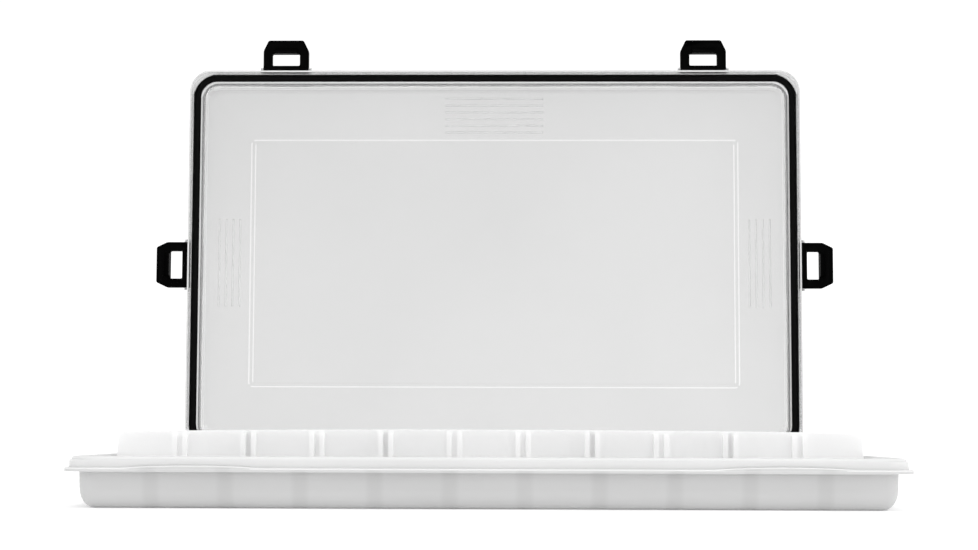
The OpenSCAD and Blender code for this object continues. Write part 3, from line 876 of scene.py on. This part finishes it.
def make_grip(length):
    """A low rounded grip rib along X, its base at height 0."""
    grip = start_piece("grip")
    block((-length / 2, -GRIP_WIDE / 2, -GRIP_HIGH), (length / 2, GRIP_WIDE / 2, GRIP_HIGH))
    pick("EDGE", lambda e: middle(e).z > GRIP_HIGH - NEAR)
    bpy.ops.mesh.bevel(offset=GRIP_ROUND * MM, segments=3, affect="EDGES")
    return finish_piece(grip)


def make_grips():
    """The grip ribs along the front border and along each end's."""
    grips = []
    front = make_grip(FRONT_GRIP_LONG)
    for i in range(FRONT_GRIPS):
        y = -LIP_Y + FRONT_GRIP_IN + GRIP_PITCH * i
        height = border_height(LIP_Y + y, LIP_Y - CHANNEL_IN - PANEL_Y)
        grips.append(copy_piece(front, "grip", moved(0, y, height)))
    bpy.data.objects.remove(front, do_unlink=True)
    end = make_grip(END_GRIP_LONG)
    for side in (-1, 1):
        for i in range(END_GRIPS):
            x = LIP_X - END_GRIP_IN - GRIP_PITCH * i
            height = border_height(LIP_X - x, LIP_X - CHANNEL_IN - PANEL_X)
            grips.append(copy_piece(end, "grip", moved(side * x, 0, height) @ turned(90)))
    bpy.data.objects.remove(end, do_unlink=True)
    return grips


def make_ear():
    """A round-nosed ear beside a latch, at X = 0 of the rear edge's frame."""
    ear = start_piece("ear")
    nose = PIVOT_OUT + BARREL
    block((-EAR_HALF, -EAR_SUNK, PIVOT_Z - BARREL), (EAR_HALF, nose, PIVOT_Z + BARREL))
    pick("EDGE", lambda e: abs(middle(e).x) < NEAR and middle(e).y > nose - NEAR)
    bpy.ops.mesh.bevel(offset=(BARREL - HAIR) * MM, segments=8, affect="EDGES")
    finish_piece(ear)
    bore_through(ear, LATCH_BORE, 3 * PAST, PIVOT_OUT, PIVOT_Z, 24)
    return ear


def make_ears():
    """A pair of ears at each latch."""
    ears = []
    ear = make_ear()
    for place in LATCH_PLACES.values():
        for side in (-1, 1):
            ears.append(copy_piece(ear, "ear", place @ moved(side * EAR_OUT, 0, 0)))
    bpy.data.objects.remove(ear, do_unlink=True)
    return ears


def make_lid_knuckle():
    """The lid's middle knuckle with its web and the heel that stops the lid upright, at X = 0."""
    half = LID_KNUCKLE_WIDE / 2 - WEB_IN
    knuckle = start_piece("lid_knuckle")
    rod(KNUCKLE, LID_KNUCKLE_WIDE, (0, HINGE_Y, HINGE_Z))
    finish_piece(knuckle)
    web = block_piece("web", (-half, LIP_Y - LID_WEB_SUNK, SKIRT_LOW + WEB_OFF),
                      (half, HINGE_Y, HINGE_Z + KNUCKLE - WEB_OFF))
    heel = block_piece("heel", (-half, HINGE_Y + HEEL_IN, HINGE_Z - HEEL_LOW),
                       (half, HINGE_Y + KNUCKLE - HEEL_IN, HINGE_Z))
    combine(knuckle, [web], "UNION")
    combine(knuckle, [heel], "UNION")
    bore_through(knuckle, HINGE_BORE, LID_KNUCKLE_WIDE + 2 * PAST, HINGE_Y, HINGE_Z, 32)
    return knuckle


def takes_painted_highlight(face):
    """True on the skirt, the dome's upright wall and the slopes of the panel's frame, which take a
    lighter copy of the clear plastic as a painted highlight.
    """
    x, y, z = (abs(v) / MM for v in face.center)
    inset = min(LIP_X - x, LIP_Y - y)
    off_x, off_y = x - PANEL_X, y - PANEL_Y
    outer_slope = 0 < max(off_x, off_y) < FRAME_SLOPE
    inner_slope = off_x > off_y and -FRAME_SLOPE < off_x + FRAME_WIDE < 0
    upright = abs(face.normal.z) < 0.5 and inset < DOME_IN + 1
    return upright or inset < CHANNEL_OUT + NEAR or (z > PANEL - 0.5 and (outer_slope or inner_slope))


def make_lid(body, edges):
    """The whole clear moulding: the shell united with its grips, ears and knuckles, then opened."""
    lid = make_lid_shell()
    lid.name = lid.data.name = "lid_moulding"
    # The skirt, the dome's upright wall and the frame's slopes get the lighter clear copy: a painted
    # highlight.
    for face in lid.data.polygons:
        face.material_index = LIT_EDGE_HIGHLIGHT if takes_painted_highlight(face) else CLEAR_FINISH
    round_off(lid, LID_EDGE, 3)
    extras = make_grips() + make_ears()
    knuckle = make_lid_knuckle()
    round_off(knuckle, SMALL_EDGE)
    for side in (-1, 1):
        extras.append(copy_piece(knuckle, "knuckle", moved(side * HINGE_X, 0, 0)))
    bpy.data.objects.remove(knuckle, do_unlink=True)
    combine(lid, extras, "UNION")
    place_piece(lid, OPENED)
    round_off(lid, 0)
    lid.data.materials.append(body)
    lid.data.materials.append(edges)
    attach(lid, "lid")
    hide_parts("lid")


def make_seal(material):
    """The ring seal in its channel: flat back, straight sides and a cushioned face."""
    seal = start_piece("seal")
    centre = (CHANNEL_OUT + CHANNEL_IN) / 2
    half = (CHANNEL_IN - CHANNEL_OUT) / 2 - SEAL_SLACK
    face = [(half, ROOF - SEAL_SLACK / 2)]
    face += [(half * math.cos(a), SEAL_LOW + SEAL_RISE * (1 - math.sin(a))) for a in quarter(6)[:-1]]
    loops = [at_inset(centre - x, z, SEAL_CORNER) for x, z in face]
    loops.append(at_inset(centre, SEAL_LOW, SEAL_CORNER))
    loops += [at_inset(centre + x, z + HAIR, SEAL_CORNER) for x, z in reversed(face)]
    draw_shell(loops, ring=True)
    finish_piece(seal)
    place_piece(seal, OPENED)
    round_off(seal, 0)
    seal.data.materials.append(material)
    seal.name = seal.data.name = "ring_seal"
    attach(seal, "lid")
    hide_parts("lid_gasket")


# ---------------------------------------------------------------- latches and dividers

def make_latch():
    """A latch swung open from the closed lid's rear edge: framed plate, window, hook and barrel."""
    latch = start_piece("latch")
    half, low, high = LATCH_WIDE / 2, PIVOT_Z - BARREL, PIVOT_Z + BARREL
    block((-half, PIVOT_OUT, low), (half, LATCH_REACH, high))
    for side in (-1, 1):
        slice_off((side * half, LATCH_REACH - CHAMFER_LONG, 0), (side * CHAMFER_LONG, CHAMFER_WIDE, 0))
    pick("EDGE", lambda e: abs(e.verts[0].co.z - e.verts[1].co.z) > MM and middle(e).y > PIVOT_OUT + 1)
    bpy.ops.mesh.bevel(offset=LATCH_ROUND * MM, segments=3, affect="EDGES")
    for side in (-1, 1):
        pick("FACE", lambda f: f.normal.z * side > 0.9)
        bpy.ops.mesh.inset(thickness=LATCH_RIM * MM, depth=0)
        bpy.ops.mesh.inset(thickness=LATCH_RIM_SLOPE * MM, depth=-LATCH_SUNK * MM)
    finish_piece(latch)
    window = start_piece("window")
    block((-WINDOW_WIDE / 2, WINDOW_NEAR, low - PAST), (WINDOW_WIDE / 2, WINDOW_FAR, high + PAST))
    pick("EDGE", lambda e: abs(e.verts[0].co.z - e.verts[1].co.z) > MM)
    bpy.ops.mesh.bevel(offset=WINDOW_ROUND * MM, segments=3, affect="EDGES")
    combine(latch, [finish_piece(window)], "DIFFERENCE")
    barrel = start_piece("barrel")
    rod(BARREL, LATCH_WIDE, (0, PIVOT_OUT, PIVOT_Z), "X", 32)
    finish_piece(barrel)
    hook = start_piece("hook")
    block((-HOOK_WIDE / 2, WINDOW_FAR, low - HOOK_DEEP),
          (HOOK_WIDE / 2, WINDOW_FAR + HOOK_LONG, PIVOT_Z))
    slice_off((0, WINDOW_FAR + HOOK_TIP, low - HOOK_DEEP), (0, HOOK_DEEP, HOOK_TIP - HOOK_LONG))
    finish_piece(hook)
    combine(latch, [barrel], "UNION")
    combine(latch, [hook], "UNION")
    bore_through(latch, LATCH_BORE, LATCH_WIDE + 2 * PAST, PIVOT_OUT, PIVOT_Z, 24)
    return latch


def make_latches(material):
    """The four latches, each at its pivot on the opened lid."""
    latch = make_latch()
    round_off(latch, SMALL_EDGE)
    latch.data.materials.append(material)
    for where, place in LATCH_PLACES.items():
        name = "latch_" + where
        piece = copy_piece(latch, name + "_plate", OPENED @ place)
        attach(piece, name)
        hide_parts(name)
    bpy.data.objects.remove(latch, do_unlink=True)


def round_rear_foot(rear, width, segments):
    """Rounds the divider's lower rear corner while its mesh is edited."""
    pick("EDGE", lambda e: abs(middle(e).x) < NEAR and middle(e).y > rear - NEAR
         and middle(e).z < DIVIDER_LOW + NEAR)
    bpy.ops.mesh.bevel(offset=width * MM, segments=segments, affect="EDGES")


def make_divider(front, rear, at_rear_wall):
    """A lift-out divider at X = 0, framed by a thin rim and with a finger scallop in its top."""
    divider = start_piece("divider")
    high = PART_TOP - DIVIDER_DROP
    block((-DIVIDER_HALF, front, DIVIDER_LOW), (DIVIDER_HALF, rear, high))
    if at_rear_wall:
        round_rear_foot(rear, REAR_FOOT_ROUND, 6)
        for height in (LIP_LOW, LIP_LOW + 1):
            bpy.ops.mesh.select_all(action="SELECT")
            bpy.ops.mesh.bisect(plane_co=(0, 0, height * MM), plane_no=(0, 0, 1))
        pick("VERT", lambda v: v.co.y > (rear - NEAR) * MM and v.co.z > (LIP_LOW + 0.5) * MM)
        bpy.ops.transform.translate(value=(0, (LIP_Y - PART_END - rear) * MM, 0))
    for side in (-1, 1):
        pick("FACE", lambda f: f.normal.x * side > 0.9)
        bpy.ops.mesh.inset(thickness=DIVIDER_RIM * MM, depth=0)
        bpy.ops.mesh.inset(thickness=DIVIDER_RIM_SLOPE * MM, depth=-DIVIDER_SUNK * MM)
    if not at_rear_wall:
        round_rear_foot(rear, MIDDLE_FOOT_ROUND, 3)
    finish_piece(divider)
    scallop = start_piece("scallop")
    spot = (0, (front + rear) / 2, high)
    rod(1, 3 * PAST, spot, "X", 64)
    bpy.ops.transform.resize(value=(1, SCALLOP_HALF, SCALLOP_DEEP),
                             center_override=tuple(Vector(spot) * MM))
    combine(divider, [finish_piece(scallop)], "DIFFERENCE")
    return divider


def make_dividers(material):
    """Four dividers in each of the three rear rows. The first two rows share one shape."""
    middle_row = make_divider(*MIDDLE_ROW, False)
    rear_row = make_divider(*REAR_ROW, True)
    for piece in (middle_row, rear_row):
        round_off(piece, DIVIDER_EDGE)
        piece.data.materials.append(material)
    for index in range(ROW_COUNT * len(DIVIDER_SLOTS)):
        row, place = divmod(index, len(DIVIDER_SLOTS))
        source = rear_row if row == 2 else middle_row
        back = PART_YS[2] if row == 1 else 0
        name = f"divider_{index + 1}"
        piece = copy_piece(source, name + "_sheet", moved(slot_x(DIVIDER_SLOTS[place]), back, 0))
        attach(piece, name)
        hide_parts(name)
    for piece in (middle_row, rear_row):
        bpy.data.objects.remove(piece, do_unlink=True)


# ---------------------------------------------------------------- putting it together

set_up_camera()
set_up_studio()

white = white_moulding("white_moulding", 0.965, 0.95, 10)
# Darker copies of the same white plastic, painted shade for the rim and for the outside.
rim_shaded_white = white_moulding("white_rim_painted_shade", 0.66, 0.5, 2)
outer_shaded_white = white_moulding("white_outer_painted_shade", 0.55, 0.3, 2)
# Paints the slot ribs' shadow on the outside's white.
paint_rib_shade(outer_shaded_white)
clear = clear_moulding("clear_moulding", 0.65)
# A lighter copy of the clear plastic, a painted highlight on the lid's edges.
highlight_clear = clear_moulding("clear_painted_highlight", 0.79)
rubber = seal_rubber()
black = black_moulding()
steel = drawn_wire()
milky = milky_moulding()

make_tray((white, outer_shaded_white, rim_shaded_white))
make_lid(clear, highlight_clear)
make_seal(rubber)
make_latches(black)
make_dividers(milky)
for name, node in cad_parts.items():
    if "pin" in name:
        node.data.materials.clear()
        node.data.materials.append(steel)
